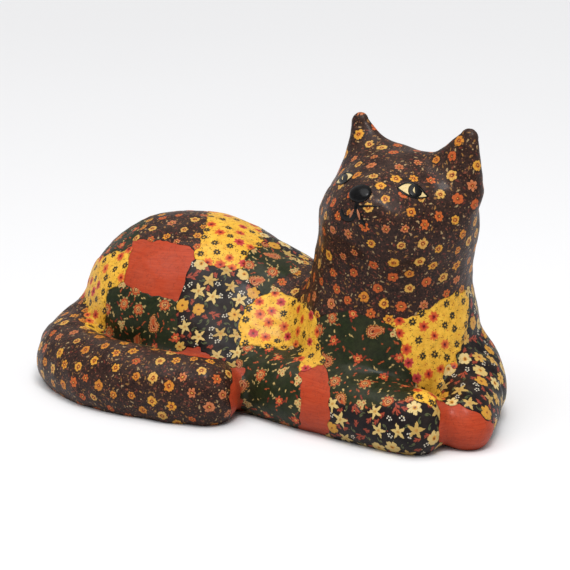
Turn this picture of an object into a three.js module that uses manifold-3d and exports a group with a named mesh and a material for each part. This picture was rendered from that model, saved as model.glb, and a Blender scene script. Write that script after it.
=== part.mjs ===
// A reclining cat: two moulded papier-mache halves on a card base, covered in a patchwork of cloth.
// Millimetres, +Z up, +X towards the head end. The cat turns its face to the -Y side.
import * as THREE from 'three';
import { mergeVertices } from 'three/addons/utils/BufferGeometryUtils.js';
import Module from 'manifold-3d';

const wasm = await Module();
wasm.setup();

// ---- Driving dimensions ----
const WALL = 4;            // papier-mache wall
const GLUE = 0.3;          // glue line between the wall and the cloth
const CLOTH = 0.6;         // varnished cloth
const PAINT_LIFT = 1.2;    // underside of the painted face marks, above the wall
const PAINT = 0.6;         // their thickness
const SEAM = 0.4;          // between neighbouring patches, and between painted marks
const HALF_GAP = 0.3;      // between the two moulded halves
const MOULD_LINE_Y = 14;   // the upright plane where the halves meet
const BOARD = 2.5;         // card that closes the underside
const BOARD_INSET = 1.5;   // its edge, inside the outer face of the wall
const CLOTH_FOOT = 0.8;    // lower edge of the cloth, above the surface that the cat lies on
const FAR = 260;           // further than any point of the cat
const CUT_LOW = -4;        // the net closes here, below the surface that the cat lies on
const TOLERANCE = 0.03;    // finest detail that a cut keeps
const PROBE = 0.2;         // step for measuring a slope
const WIDE_PROBE = 2.5;    // the same for the way out of the surface, evened out across creases

const vec = (x, y, z) => new THREE.Vector3(x, y, z);

// Axes of a plane that faces a given way: to the right on it, up it, and out of it.
function facing(azimuth, elevation) {
  const turn = THREE.MathUtils.degToRad(azimuth);
  const tilt = THREE.MathUtils.degToRad(elevation);
  const right = vec(Math.cos(turn), Math.sin(turn), 0);
  const out = vec(Math.sin(turn) * Math.cos(tilt), -Math.cos(turn) * Math.cos(tilt), Math.sin(tilt));
  const up = out.clone().cross(right);
  return new THREE.Matrix4().makeBasis(right, up, out);
}

// ---- The form, as blended rounds ----
// Each ellipsoid has a centre, radii along its axes, and the width of its blend into those before it.
const BODY = [
  { name: 'rump', centre: vec(-74, 25, 36), radii: vec(71, 63, 60), blend: 0 },
  { name: 'back', centre: vec(-12, 27, 27), radii: vec(60, 47, 44), blend: 32 },
  { name: 'haunch', centre: vec(-33, -8, 14), radii: vec(52, 40, 36), blend: 18 },
  { name: 'chest', centre: vec(69, 16, 31), radii: vec(48, 54, 57), blend: 20 },
];
const NECK = { from: vec(64, 20, 46), to: vec(72.5, 10, 110), radii: [51, 41.5], blend: 14 };

// The head has axes of its own: across the face, up it, and out of it.
const FACE = facing(-8, 14);
const HEAD_CENTRE = vec(81, 6, 127);
const HEAD = [
  { name: 'skull', centre: vec(-0.5, -5, -2), radii: vec(39.5, 30, 35), blend: 0 },
  { name: 'jaw', centre: vec(0, -18, -4), radii: vec(33, 30, 36), blend: 12 },
  { name: 'muzzle', centre: vec(0, -6, 30), radii: vec(17, 12, 18), blend: 18 },
  { name: 'chin', centre: vec(0, -19, 24), radii: vec(20, 13, 17), blend: 12 },
  { name: 'left lip', centre: vec(-12, -12, 31), radii: vec(12, 9, 11), blend: 8 },
  { name: 'right lip', centre: vec(12, -12, 31), radii: vec(12, 9, 11), blend: 8 },
  { name: 'left cheek', centre: vec(-17, -14, 15), radii: vec(17, 15, 18), blend: 14 },
  { name: 'right cheek', centre: vec(15, -14, 15), radii: vec(16, 15, 18), blend: 14 },
];
const EAR = { base: vec(27.2, 14, -1), tip: vec(36.8, 40, 4), radii: [19.8, 4.8], blend: 13 };
const EAR_FLATTEN = vec(1, 1, 1.55);
const HEAD_BLEND = 14;

// Limbs are rolls of changing thickness along a curve.
const TAIL = {
  path: [vec(-118, 34, 23), vec(-153, -48, 9), vec(-99, -75, 16), vec(-13, -60, 16)],
  radii: [27, 23, 22, 22, 20], steps: 12, blend: 11,
};
const NEAR_LEG = {
  path: [vec(7, -26, 15), vec(43, -37, 17), vec(79, -42, 17), vec(111, -43, 15)],
  radii: [21, 20, 20, 18.5], steps: 4, blend: 11,
};
const FAR_LEG = {
  path: [vec(105, 30, 20), vec(116, 19, 19), vec(125, 2, 18), vec(134, -23, 13)],
  radii: [26.5, 23.5, 18.8, 16], steps: 5, blend: 14,
};

// Distances below are negative inside the form.
function ellipsoid(p, { centre, radii }) {
  const q = p.clone().sub(centre).divide(radii);
  const reach = q.length();
  return reach * (reach - 1) / Math.max(q.divide(radii).length(), 1e-6);
}

function roundCone(p, from, to, startRadius, endRadius) {
  const axis = to.clone().sub(from);
  const offset = p.clone().sub(from);
  const along = THREE.MathUtils.clamp(offset.dot(axis) / axis.lengthSq(), 0, 1);
  const radius = THREE.MathUtils.lerp(startRadius, endRadius, along);
  return offset.addScaledVector(axis, -along).length() - radius;
}

function blended(a, b, width) {
  const overlap = width > 0 ? Math.max(width - Math.abs(a - b), 0) / width : 0;
  return Math.min(a, b) - overlap * overlap * width / 4;
}

function radiusAlong(radii, t) {
  const place = t * (radii.length - 1);
  const index = Math.min(Math.floor(place), radii.length - 2);
  return THREE.MathUtils.lerp(radii[index], radii[index + 1], place - index);
}

function makeRoll({ path, radii, steps }) {
  const points = new THREE.CubicBezierCurve3(...path).getPoints(steps);
  const radius = points.map((_, i) => radiusAlong(radii, i / steps));
  return (p) => {
    let nearest = Infinity;
    for (let i = 0; i < steps; i++) {
      nearest = Math.min(nearest, roundCone(p, points[i], points[i + 1], radius[i], radius[i + 1]));
    }
    return nearest;
  };
}

const toHead = FACE.clone().transpose();
const earBase = EAR.base.clone().multiply(EAR_FLATTEN);
const earTip = EAR.tip.clone().multiply(EAR_FLATTEN);
const tail = makeRoll(TAIL);
const nearLeg = makeRoll(NEAR_LEG);
const farLeg = makeRoll(FAR_LEG);

function head(p) {
  const q = p.clone().sub(HEAD_CENTRE).applyMatrix4(toHead);
  let distance = HEAD.reduce((sum, part) => blended(sum, ellipsoid(q, part), part.blend), Infinity);
  const thin = q.multiply(EAR_FLATTEN);
  for (const side of [-1, 1]) {
    const mirrored = vec(side * thin.x, thin.y, thin.z);
    distance = blended(distance, roundCone(mirrored, earBase, earTip, ...EAR.radii), EAR.blend);
  }
  return distance;
}

// The trunk and head are hollow. The tail and legs are solid pulp.
function trunk(p) {
  let distance = BODY.reduce((sum, part) => blended(sum, ellipsoid(p, part), part.blend), Infinity);
  distance = blended(distance, roundCone(p, NECK.from, NECK.to, ...NECK.radii), NECK.blend);
  return blended(distance, head(p), HEAD_BLEND);
}

function form(p) {
  let distance = blended(trunk(p), tail(p), TAIL.blend);
  distance = blended(distance, nearLeg(p), NEAR_LEG.blend);
  distance = blended(distance, farLeg(p), FAR_LEG.blend);
  return distance;
}

function slope(distance, p, probe = PROBE) {
  const along = (axis) => distance(p.clone().addScaledVector(axis, probe))
    - distance(p.clone().addScaledVector(axis, -probe));
  return vec(along(vec(1, 0, 0)), along(vec(0, 1, 0)), along(vec(0, 0, 1))).normalize();
}

// ---- A net of facets round a form ----
// Grid lines along one axis, from spans of [start, end, number of steps].
function gridLines(...spans) {
  const lines = [spans[0][0]];
  for (const [start, end, steps] of spans) {
    for (let i = 1; i <= steps; i++) lines.push(THREE.MathUtils.lerp(start, end, i / steps));
  }
  return lines;
}

// One point in each grid cell that the surface crosses, drawn on to the surface, joined by quads
// round each grid edge that the surface crosses.
function wrap(distance, [xs, ys, zs]) {
  const lines = [xs, ys, zs];
  const size = lines.map((line) => line.length);
  const key = ([i, j, k]) => (i * size[1] + j) * size[2] + k;
  const place = ([i, j, k]) => vec(xs[i], ys[j], zs[k]);
  const value = new Float64Array(size[0] * size[1] * size[2]);
  for (let i = 0; i < size[0]; i++) {
    for (let j = 0; j < size[1]; j++) {
      for (let k = 0; k < size[2]; k++) value[key([i, j, k])] = distance(place([i, j, k]));
    }
  }
  const step = (at, axis, count = 1) => at.map((n, a) => (a === axis ? n + count : n));
  const points = [];
  const pointOf = new Map();
  const pointIn = (cell) => {
    const id = key(cell);
    if (pointOf.has(id)) return pointOf.get(id);
    const sum = vec(0, 0, 0);
    let crossings = 0;
    for (let axis = 0; axis < 3; axis++) {
      for (let corner = 0; corner < 4; corner++) {
        const low = step(step(cell, (axis + 1) % 3, corner & 1), (axis + 2) % 3, corner >> 1);
        const a = value[key(low)];
        const b = value[key(step(low, axis))];
        if ((a < 0) === (b < 0)) continue;
        sum.add(place(low).lerp(place(step(low, axis)), a / (a - b)));
        crossings += 1;
      }
    }
    const p = sum.divideScalar(crossings);
    for (let pull = 0; pull < 4; pull++) p.addScaledVector(slope(distance, p), -distance(p));
    p.clamp(place(cell), place(cell.map((n) => n + 1)));
    pointOf.set(id, points.length);
    points.push(p);
    return points.length - 1;
  };
  const faces = [];
  const addQuad = (a, b, c, d) => {
    const short = points[a].distanceTo(points[c]) < points[b].distanceTo(points[d]);
    faces.push(...(short ? [a, b, c, a, c, d] : [a, b, d, b, c, d]));
  };
  for (let axis = 0; axis < 3; axis++) {
    const [u, v] = [(axis + 1) % 3, (axis + 2) % 3];
    const last = step([0, 0, 0], axis).map((n, a) => size[a] - 1);
    for (let i = axis === 0 ? 0 : 1; i < last[0]; i++) {
      for (let j = axis === 1 ? 0 : 1; j < last[1]; j++) {
        for (let k = axis === 2 ? 0 : 1; k < last[2]; k++) {
          const at = [i, j, k];
          const inside = value[key(at)] < 0;
          if (inside === (value[key(step(at, axis))] < 0)) continue;
          const ring = [step(step(at, u, -1), v, -1), step(at, v, -1), at, step(at, u, -1)].map(pointIn);
          addQuad(...(inside ? ring : ring.reverse()));
        }
      }
    }
  }
  const normals = points.map((p) => slope(distance, p, WIDE_PROBE));
  return { points, faces, normals };
}

// ---- Solids ----
function toSolid(positions, indices) {
  const mesh = new wasm.Mesh({
    numProp: 3,
    vertProperties: Float32Array.from(positions),
    triVerts: Uint32Array.from(indices),
    tolerance: TOLERANCE,
  });
  return new wasm.Manifold(mesh);
}

function solidOf(geometry) {
  const bare = geometry.clone();
  bare.deleteAttribute('normal');
  bare.deleteAttribute('uv');
  const merged = mergeVertices(bare, 1e-3);
  return toSolid(merged.attributes.position.array, merged.index.array);
}

// The net moved out along its normals by the given amount, as a solid.
function layer({ points, faces, normals }, amount) {
  const moved = points.map((p, i) => p.clone().addScaledVector(normals[i], amount));
  return toSolid(moved.flatMap((p) => p.toArray()), faces);
}

function slab(low, high) {
  const size = high.clone().sub(low);
  const middle = low.clone().addScaledVector(size, 0.5);
  return solidOf(new THREE.BoxGeometry(...size.toArray()).translate(...middle.toArray()));
}

// An outline in mm on a plane through the origin, pushed out of the plane from a given depth
// behind it, and grown all round by a margin.
function prism(outline, axes, depth, margin = 0) {
  const shape = outline instanceof THREE.Shape ? outline
    : new THREE.Shape(outline.map(([right, up]) => new THREE.Vector2(right, up)));
  const bevel = { bevelEnabled: margin > 0, bevelThickness: margin, bevelSize: margin, bevelSegments: 1 };
  const geometry = new THREE.ExtrudeGeometry(shape, { depth: FAR + depth, curveSegments: 8, ...bevel });
  return solidOf(geometry.translate(0, 0, -depth).applyMatrix4(axes));
}

function largestBody(solid) {
  return solid.decompose().sort((a, b) => b.volume() - a.volume())[0];
}

function finish(solid, name, material) {
  const { vertProperties, triVerts } = solid.getMesh();
  const geometry = new THREE.BufferGeometry();
  geometry.setAttribute('position', new THREE.BufferAttribute(vertProperties, 3));
  geometry.setIndex(new THREE.BufferAttribute(triVerts, 1));
  geometry.computeVertexNormals();
  const mesh = new THREE.Mesh(geometry, material);
  mesh.name = name;
  return mesh;
}

const OUTER_GRID = [
  gridLines([-178, -142, 2], [-142, 40, 10], [40, 144, 9], [144, 174, 2]),
  gridLines([-104, -8, 6], [-8, 24, 4], [24, 108, 6]),
  gridLines([-10, 2, 1], [2, 98, 6], [98, 174, 8]),
];
const INNER_GRID = [
  gridLines([-178, 40, 11], [40, 160, 7]),
  gridLines([-114, 108, 12]),
  gridLines([-10, 2, 1], [2, 164, 10]),
];
const outerNet = wrap((p) => Math.max(form(p), CUT_LOW - p.z), OUTER_GRID);
const innerNet = wrap((p) => Math.max(trunk(p) + WALL, CUT_LOW - p.z), INNER_GRID);

// ---- Materials ----
const material = (color, roughness) => new THREE.MeshStandardMaterial({ color, roughness, metalness: 0 });
const MACHE = material('#8f7355', 0.9);
const CARD = material('#6d4c33', 0.85);
const CLOTHS = {
  brown: material('#4a2c1f', 0.35),
  yellow: material('#dba328', 0.35),
  green: material('#2d3519', 0.35),
  black: material('#2a1c1a', 0.35),
  orange: material('#b9431f', 0.45),
};
const BLACK_PAINT = material('#0b0b0c', 0.15);
const CREAM_PAINT = material('#e8dcae', 0.3);

// ---- The moulded shell and its base ----
function makeShell() {
  const whole = layer(outerNet, 0).subtract(layer(innerNet, 0));
  const lift = BOARD + HALF_GAP;
  const near = slab(vec(-FAR, -FAR, lift), vec(FAR, MOULD_LINE_Y - HALF_GAP / 2, FAR));
  const far = slab(vec(-FAR, MOULD_LINE_Y + HALF_GAP / 2, lift), vec(FAR, FAR, FAR));
  return [
    finish(largestBody(whole.intersect(near)), 'shell_near_half', MACHE),
    finish(largestBody(whole.intersect(far)), 'shell_far_half', MACHE),
  ];
}

function makeBoard() {
  const board = layer(outerNet, -BOARD_INSET).intersect(slab(vec(-FAR, -FAR, 0), vec(FAR, FAR, BOARD)));
  return finish(largestBody(board), 'base_board', CARD);
}

// ---- The patchwork ----
// Each patch is cut from what the patches before it leave. Its outline is drawn in mm on a plane
// through the origin, and reaches to a depth behind that plane.
const FRONT = facing(30, 16);
const REAR = facing(180, 0);
const PATCHES = [
  { name: 'head_brown', axes: FRONT, depth: 12,
    outline: [[-4, 64], [16, 79], [0, 115], [0, 190], [140, 190], [140, 66], [116, 63], [107, 62], [91, 56],
      [74, 46], [62, 44], [41, 50], [23, 47], [17, 53]] },
  { name: 'tail_end_orange', axes: FRONT, depth: -36,
    outline: [[-27, 17], [-20, 17], [-20, -34], [-28, -34], [-26.6, 0]] },
  { name: 'tail_brown', axes: FRONT, depth: 88,
    outline: [[-170, 70], [-121, 57], [-116, 40], [-107, 35], [-92, 31], [-76, 28], [-57, 24], [-41, 22],
      [-28, 20], [-26, 8], [-27, -30], [-170, -30]] },
  { name: 'rump_yellow', axes: FRONT, depth: 60,
    outline: [[-110, 81], [-89, 86], [-93, 65], [-103, 62], [-105, 37], [-106, 33], [-117, 38], [-135, 52],
      [-128, 78]] },
  { name: 'rump_green_high', axes: FRONT, depth: 60,
    outline: [[-110, 81], [-128, 84], [-112, 115], [-84, 118], [-81, 103], [-88, 92], [-89, 86]] },
  { name: 'rump_orange', axes: FRONT, depth: 30,
    outline: [[-89, 92], [-68, 91], [-52, 87], [-50, 84], [-55, 65], [-59, 56], [-76, 59], [-92, 65],
      [-90, 78]] },
  { name: 'rump_brown', axes: FRONT, depth: 66,
    outline: [[-88, 92], [-81, 103], [-84, 125], [-42, 125], [-43, 106], [-45, 92], [-50, 84], [-68, 91]] },
  { name: 'back_yellow', axes: FRONT, depth: 66,
    outline: [[-43, 106], [-42, 125], [-18, 122], [-10, 98], [-9, 90], [-19, 83], [-22, 74], [-34, 75],
      [-46, 80], [-50, 84], [-45, 92]] },
  { name: 'rump_green_low', axes: FRONT, depth: 30,
    outline: [[-103, 62], [-92, 65], [-76, 59], [-59, 56], [-59, 26], [-76, 28], [-92, 31], [-107, 33]] },
  { name: 'side_black', axes: FRONT, depth: 10,
    outline: [[-51, 78], [-37, 75], [-22, 74], [-9, 58], [-16, 53], [-22, 45], [-23, 30], [-23, 21],
      [-30, 21], [-45, 29], [-59, 31], [-59, 56], [-55, 65]] },
  { name: 'tail_tip_orange', axes: FRONT, depth: -10,
    outline: [[-62, 31], [-45, 29], [-30, 21], [-23, 21], [-22, -30], [-28, -30], [-26, 13], [-28, 18],
      [-41, 20], [-57, 22]] },
  { name: 'back_green', axes: FRONT, depth: 34,
    outline: [[-19, 83], [-9, 90], [2, 86], [15, 77], [22, 72], [18, 62], [-1, 60], [-9, 58], [-20, 71]] },
  { name: 'back_black', axes: FRONT, depth: 58,
    outline: [[-9, 90], [-10, 98], [-18, 125], [40, 118], [24, 78], [15, 77], [2, 86]] },
  { name: 'side_yellow', axes: FRONT, depth: 0,
    outline: [[-9, 58], [-1, 60], [18, 62], [17, 53], [23, 46], [23, 33], [26, 22], [19, 18], [13, 15],
      [13, 30], [-4, 29], [-23, 30], [-22, 45], [-16, 53]] },
  { name: 'side_green', axes: FRONT, depth: -20,
    outline: [[-23, 30], [-4, 29], [13, 30], [13, -34], [-24, -34]] },
  { name: 'leg_orange', axes: FRONT, depth: -50,
    outline: [[13, 14], [19, 18], [27, 22], [30, 4], [29, -38], [13, -38]] },
  { name: 'chest_green', axes: FRONT, depth: -50,
    outline: [[23, 47], [41, 50], [62, 44], [69, 33], [69, 25], [79, 8], [73, 2], [46, -4], [30, 2],
      [27, 22], [23, 33]] },
  { name: 'paw_orange', axes: FRONT, depth: -80,
    outline: [[87, 2], [98, 0], [109, -5], [126, -18], [130, -44], [90, -44], [89, -20]] },
  { name: 'leg_black', axes: FRONT, depth: -64,
    outline: [[30, 2], [46, -4], [73, 2], [83, -3], [87, 1], [89, -20], [89, -44], [29, -44]] },
  { name: 'chest_yellow', axes: FRONT, depth: -30,
    outline: [[62, 44], [74, 46], [91, 56], [107, 62], [109, 56], [107, 33], [101, 23], [95, 14], [91, 2],
      [83, -3], [73, 2], [79, 8], [69, 25], [69, 33]] },
  { name: 'shoulder_green', axes: FRONT, depth: -12,
    outline: [[116, 63], [150, 66], [150, 10], [129, 21], [125, 29], [118, 44]] },
  { name: 'shoulder_black', axes: FRONT, depth: -16,
    outline: [[107, 62], [116, 63], [118, 44], [125, 29], [129, 21], [150, 10], [140, -44], [126, -18],
      [109, -5], [91, 2], [95, 14], [101, 23], [107, 33]] },
  { name: 'far_chest_yellow', axes: REAR, depth: -12,
    outline: [[-160, 90], [-160, 36], [-118, 30], [-84, 42], [-80, 90]] },
  { name: 'far_chest_black', axes: REAR, depth: -6,
    outline: [[-160, 36], [-118, 30], [-84, 42], [-78, -10], [-160, -10]] },
  { name: 'far_side_green', axes: REAR, depth: -14,
    outline: [[-84, 42], [-46, 36], [-30, 34], [-34, -10], [-78, -10]] },
  { name: 'far_side_orange', axes: REAR, depth: -14,
    outline: [[-80, 90], [-84, 42], [-46, 36], [-38, 90]] },
  { name: 'far_side_yellow', axes: REAR, depth: -14,
    outline: [[-34, -10], [-30, 34], [16, 38], [20, -10]] },
  { name: 'far_back_brown', axes: REAR, depth: -10,
    outline: [[-38, 90], [-46, 36], [-30, 34], [16, 38], [12, 74], [2, 100], [-30, 100]] },
  { name: 'far_rump_black', axes: REAR, depth: -10,
    outline: [[20, -10], [16, 38], [66, 42], [70, -10]] },
  { name: 'far_rump_orange', axes: REAR, depth: -10,
    outline: [[2, 100], [12, 74], [14, 56], [52, 60], [56, 110], [4, 110]] },
  { name: 'far_rump_green', axes: REAR, depth: -8,
    outline: [[14, 56], [16, 38], [66, 42], [104, 48], [100, 74], [52, 60]] },
  { name: 'far_rump_yellow', axes: REAR, depth: -4,
    outline: [[52, 60], [100, 74], [112, 120], [56, 120]] },
  { name: 'far_tail_black', axes: REAR, depth: 0,
    outline: [[100, 74], [104, 48], [118, 36], [170, 40], [170, 110], [110, 110]] },
  { name: 'far_tail_yellow', axes: REAR, depth: 0,
    outline: [[66, 42], [104, 48], [118, 36], [122, -10], [70, -10]] },
  { name: 'far_tail_brown', axes: REAR, depth: 0,
    outline: [[122, -10], [118, 36], [170, 40], [170, -10]] },
];

function makePatches() {
  const above = slab(vec(-FAR, -FAR, CLOTH_FOOT), vec(FAR, FAR, FAR));
  const inner = layer(outerNet, GLUE).add(layer(outerNet, 0));
  let rest = layer(outerNet, GLUE + CLOTH).subtract(inner).intersect(above);
  return PATCHES.map(({ name, axes, outline, depth }) => {
    const piece = rest.intersect(prism(outline, axes, depth));
    rest = rest.subtract(prism(outline, axes, depth, SEAM));
    const print = name.split('_').find((word) => word in CLOTHS);
    return finish(largestBody(piece), `patch_${name}`, CLOTHS[print]);
  });
}

// ---- The painted face ----
// Places are on the face: across it, and up it, from the head's centre. The two eyes were painted by
// hand, and don't match.
const EYES = [
  { side: 'left', centre: [-21.2, 6.5], tilt: 24, width: 14.4, lids: [4.6, 3.1], lean: -0.6,
    pupil: { centre: [-22.3, 6.7], tilt: -9, radii: [5.6, 2.6] } },
  { side: 'right', centre: [21.2, 5.5], tilt: -9, width: 12.8, lids: [4.1, 2.3], lean: -0.8,
    pupil: { centre: [21.9, 6.5], tilt: -51, radii: [4.2, 2.45] } },
];
const NOSE = { centre: vec(-0.4, 0.2, 44.6), radii: vec(6.6, 4.8, 4.2) };
const MOUTH = {
  width: 2.4,
  strokes: [
    [[0.2, -4], [0.3, -6.5], [0, -9]],
    [[0, -9], [-4, -13.2], [-8.6, -12.8], [-9.8, -8.6]],
    [[0.3, -8], [3.6, -11.6], [6.8, -16]],
  ],
};
const STROKE_STEPS = 8;

const faceAxes = FACE.clone().setPosition(HEAD_CENTRE);

function onFace([across, up], tilt) {
  const place = new THREE.Matrix4().makeTranslation(across, up, 0);
  place.multiply(new THREE.Matrix4().makeRotationZ(THREE.MathUtils.degToRad(tilt)));
  return faceAxes.clone().multiply(place);
}

// Two lids of their own heights, whose crowns lean to one side.
function almond({ width, lids, lean }) {
  const [upper, lower] = lids;
  const shape = new THREE.Shape();
  shape.moveTo(-width / 2, 0);
  shape.quadraticCurveTo(2 * lean * upper, 2 * upper, width / 2, 0);
  shape.quadraticCurveTo(-2 * lean * lower, -2 * lower, -width / 2, 0);
  return shape;
}

// Paint lies over the cloth, as a thin film cut to an outline on the face.
function makeEye(film, eye) {
  const pupilAxes = onFace(eye.pupil.centre, eye.pupil.tilt);
  const pupil = new THREE.Shape().absellipse(0, 0, ...eye.pupil.radii, 0, 2 * Math.PI);
  const opening = film.intersect(prism(almond(eye), onFace(eye.centre, eye.tilt), 0));
  const white = opening.subtract(prism(pupil, pupilAxes, 0, SEAM));
  const halves = white.decompose().sort((a, b) => b.volume() - a.volume());
  return [
    finish(halves[0], `eye_${eye.side}_white_inner`, CREAM_PAINT),
    finish(halves[1], `eye_${eye.side}_white_outer`, CREAM_PAINT),
    finish(film.intersect(prism(pupil, pupilAxes, 0)), `eye_${eye.side}_pupil`, BLACK_PAINT),
  ];
}

function brushStroke(points) {
  const line = new THREE.SplineCurve(points.map(([across, up]) => new THREE.Vector2(across, up)));
  const left = [];
  const right = [];
  for (let i = 0; i <= STROKE_STEPS; i++) {
    const place = line.getPoint(i / STROKE_STEPS);
    const along = line.getTangent(i / STROKE_STEPS);
    const aside = new THREE.Vector2(-along.y, along.x).multiplyScalar(MOUTH.width / 2);
    left.push(place.clone().add(aside));
    right.unshift(place.clone().sub(aside));
  }
  return new THREE.Shape([...left, ...right]);
}

function makeFace() {
  const film = layer(outerNet, PAINT_LIFT + PAINT).subtract(layer(outerNet, PAINT_LIFT));
  const strokes = MOUTH.strokes.map((points) => prism(brushStroke(points), faceAxes, 0));
  const mouth = film.intersect(strokes.reduce((sum, stroke) => sum.add(stroke)));
  const bead = new THREE.SphereGeometry(1, 16, 10).scale(...NOSE.radii.toArray());
  const nose = solidOf(bead.translate(...NOSE.centre.toArray()).applyMatrix4(faceAxes));
  const eyes = EYES.flatMap((eye) => makeEye(film, eye));
  const bare = layer(outerNet, PAINT_LIFT);
  return [
    ...eyes,
    finish(largestBody(nose.subtract(bare)), 'nose', BLACK_PAINT),
    finish(largestBody(mouth.subtract(nose)), 'mouth', BLACK_PAINT),
  ];
}

const cat = new THREE.Group();
cat.name = 'reclining_cat';
cat.add(...makeShell(), makeBoard(), ...makePatches(), ...makeFace());
export default cat;
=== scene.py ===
import math

import bpy
import numpy as np
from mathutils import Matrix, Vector
from mathutils.bvhtree import BVHTree


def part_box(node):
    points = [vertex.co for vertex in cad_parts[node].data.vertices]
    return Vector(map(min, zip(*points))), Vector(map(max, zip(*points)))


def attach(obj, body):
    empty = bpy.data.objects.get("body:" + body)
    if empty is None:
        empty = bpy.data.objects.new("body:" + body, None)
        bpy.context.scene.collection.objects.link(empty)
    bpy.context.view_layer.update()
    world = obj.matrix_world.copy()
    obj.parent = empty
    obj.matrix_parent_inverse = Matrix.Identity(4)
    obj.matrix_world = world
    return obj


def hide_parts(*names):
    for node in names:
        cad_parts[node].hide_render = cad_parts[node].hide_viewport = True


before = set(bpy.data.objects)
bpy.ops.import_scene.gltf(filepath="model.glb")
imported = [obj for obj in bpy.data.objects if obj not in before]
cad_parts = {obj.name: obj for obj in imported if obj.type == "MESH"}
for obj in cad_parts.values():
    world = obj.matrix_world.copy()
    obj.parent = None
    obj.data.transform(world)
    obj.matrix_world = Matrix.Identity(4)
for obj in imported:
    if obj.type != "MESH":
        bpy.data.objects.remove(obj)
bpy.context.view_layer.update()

MM = 0.001


# ---- camera ----
CAMERA_AZIMUTH, CAMERA_ELEVATION = math.radians(30), math.radians(16)
CAMERA_TARGET = Vector((-0.005, 0.018, 0.062))
CAMERA_DISTANCE = 1.1
CAMERA_LENS, CAMERA_SENSOR = 115.3, 36


def make_camera():
    data = bpy.data.cameras.new("camera")
    data.lens, data.sensor_width = CAMERA_LENS, CAMERA_SENSOR
    camera = bpy.data.objects.new("camera", data)
    bpy.context.collection.objects.link(camera)
    a, e = CAMERA_AZIMUTH, CAMERA_ELEVATION
    back = Vector((math.sin(a) * math.cos(e), -math.cos(a) * math.cos(e), math.sin(e)))
    camera.location = CAMERA_TARGET + back * CAMERA_DISTANCE
    camera.rotation_euler = back.to_track_quat("Z", "Y").to_euler()
    bpy.context.scene.camera = camera


make_camera()


# ---- the form, in mm ----
# The same rounds as the CAD shell's: centre, radii, width of the blend into those before.
BODY = [
    ((-74, 25, 36), (71, 63, 60), 0),       # rump
    ((-12, 27, 27), (60, 47, 44), 32),      # back
    ((-33, -8, 14), (52, 40, 36), 18),      # haunch
    ((69, 16, 31), (48, 54, 57), 20),       # chest
]
NECK_FROM, NECK_TO, NECK_RADII, NECK_BLEND = (64, 20, 46), (72.5, 10, 110), (51, 41.5), 14

# The head's own axes: across the face, up it, and out of it.
FACE_TURN, FACE_TILT = math.radians(-8), math.radians(14)
HEAD_CENTRE = np.array((81.0, 6.0, 127.0))
HEAD = [
    ((-0.5, -5, -2), (39.5, 30, 35), 0),    # skull
    ((0, -18, -4), (33, 30, 36), 12),       # jaw
    ((0, -6, 30), (17, 12, 18), 18),        # muzzle
    ((0, -19, 24), (20, 13, 17), 12),       # chin
    ((-12, -12, 31), (12, 9, 11), 8),       # lips
    ((12, -12, 31), (12, 9, 11), 8),
    ((-17, -14, 15), (17, 15, 18), 14),     # cheeks
    ((15, -14, 15), (16, 15, 18), 14),
]
EAR_BASE, EAR_TIP, EAR_RADII = (27.2, 14, -1), (36.8, 40, 4), (19.8, 4.8)
EAR_FLATTEN, EAR_BLEND = 1.55, 13
HEAD_BLEND = 14

# Limbs: a curve's four control points, radii along it, number of steps, width of the blend. The blends
# are narrower than the CAD shell's, for sharper creases.
TAIL = ([(-118, 34, 23), (-153, -48, 9), (-99, -75, 16), (-13, -60, 16)], [27, 23, 22, 22, 20], 12, 8)
NEAR_LEG = ([(7, -26, 15), (43, -37, 17), (79, -42, 17), (111, -43, 15)], [21, 20, 20, 18.5], 4, 10)
FAR_LEG = ([(105, 30, 20), (116, 19, 19), (125, 2, 18), (134, -23, 13)], [26.5, 23.5, 18.8, 16], 5, 9)
MOULD_LINE_Y, HALF_GAP = 14.0, 0.3


def face_axes():
    turn, tilt = FACE_TURN, FACE_TILT
    across = np.array((math.cos(turn), math.sin(turn), 0.0))
    out = np.array((math.sin(turn) * math.cos(tilt), -math.cos(turn) * math.cos(tilt), math.sin(tilt)))
    return np.stack([across, np.cross(out, across), out])


FACE = face_axes()


def length(v):
    return np.sqrt((v * v).sum(-1))


def ellipsoid(p, centre, radii):
    radii = np.array(radii, float)
    q = (p - np.array(centre, float)) / radii
    reach = length(q)
    return reach * (reach - 1) / np.maximum(length(q / radii), 1e-6)


def round_cone(p, start, end, radius_start, radius_end):
    start, axis = np.array(start, float), np.array(end, float) - np.array(start, float)
    along = np.clip((p - start) @ axis / (axis @ axis), 0, 1)
    return length(p - start - along[..., None] * axis) - (radius_start + (radius_end - radius_start) * along)


def blended(a, b, width):
    overlap = np.maximum(width - np.abs(a - b), 0) / width
    return np.minimum(a, b) - overlap * overlap * width / 4


def roll(p, points, radii, steps):
    points = np.array(points, float)
    t = np.linspace(0, 1, steps + 1)[:, None]
    s = 1 - t
    path = s**3 * points[0] + 3 * s * s * t * points[1] + 3 * s * t * t * points[2] + t**3 * points[3]
    radius = np.interp(t[:, 0], np.linspace(0, 1, len(radii)), radii)
    cones = (round_cone(p, path[i], path[i + 1], radius[i], radius[i + 1]) for i in range(steps))
    nearest = next(cones)
    for cone in cones:
        nearest = np.minimum(nearest, cone)
    return nearest


def blend_all(p, parts):
    distance = ellipsoid(p, *parts[0][:2])
    for centre, radii, width in parts[1:]:
        distance = blended(distance, ellipsoid(p, centre, radii), width)
    return distance


def to_face(p):
    return (p - HEAD_CENTRE) @ FACE.T


def from_face(q):
    return HEAD_CENTRE + np.asarray(q, float) @ FACE


def head(p):
    q = to_face(p)
    distance = blend_all(q, HEAD)
    thin = np.array((1, 1, EAR_FLATTEN))
    for side in (-1, 1):
        mirrored = q * thin * (side, 1, 1)
        ear = round_cone(mirrored, EAR_BASE * thin, EAR_TIP * thin, *EAR_RADII)
        distance = blended(distance, ear, EAR_BLEND)
    return distance


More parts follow.
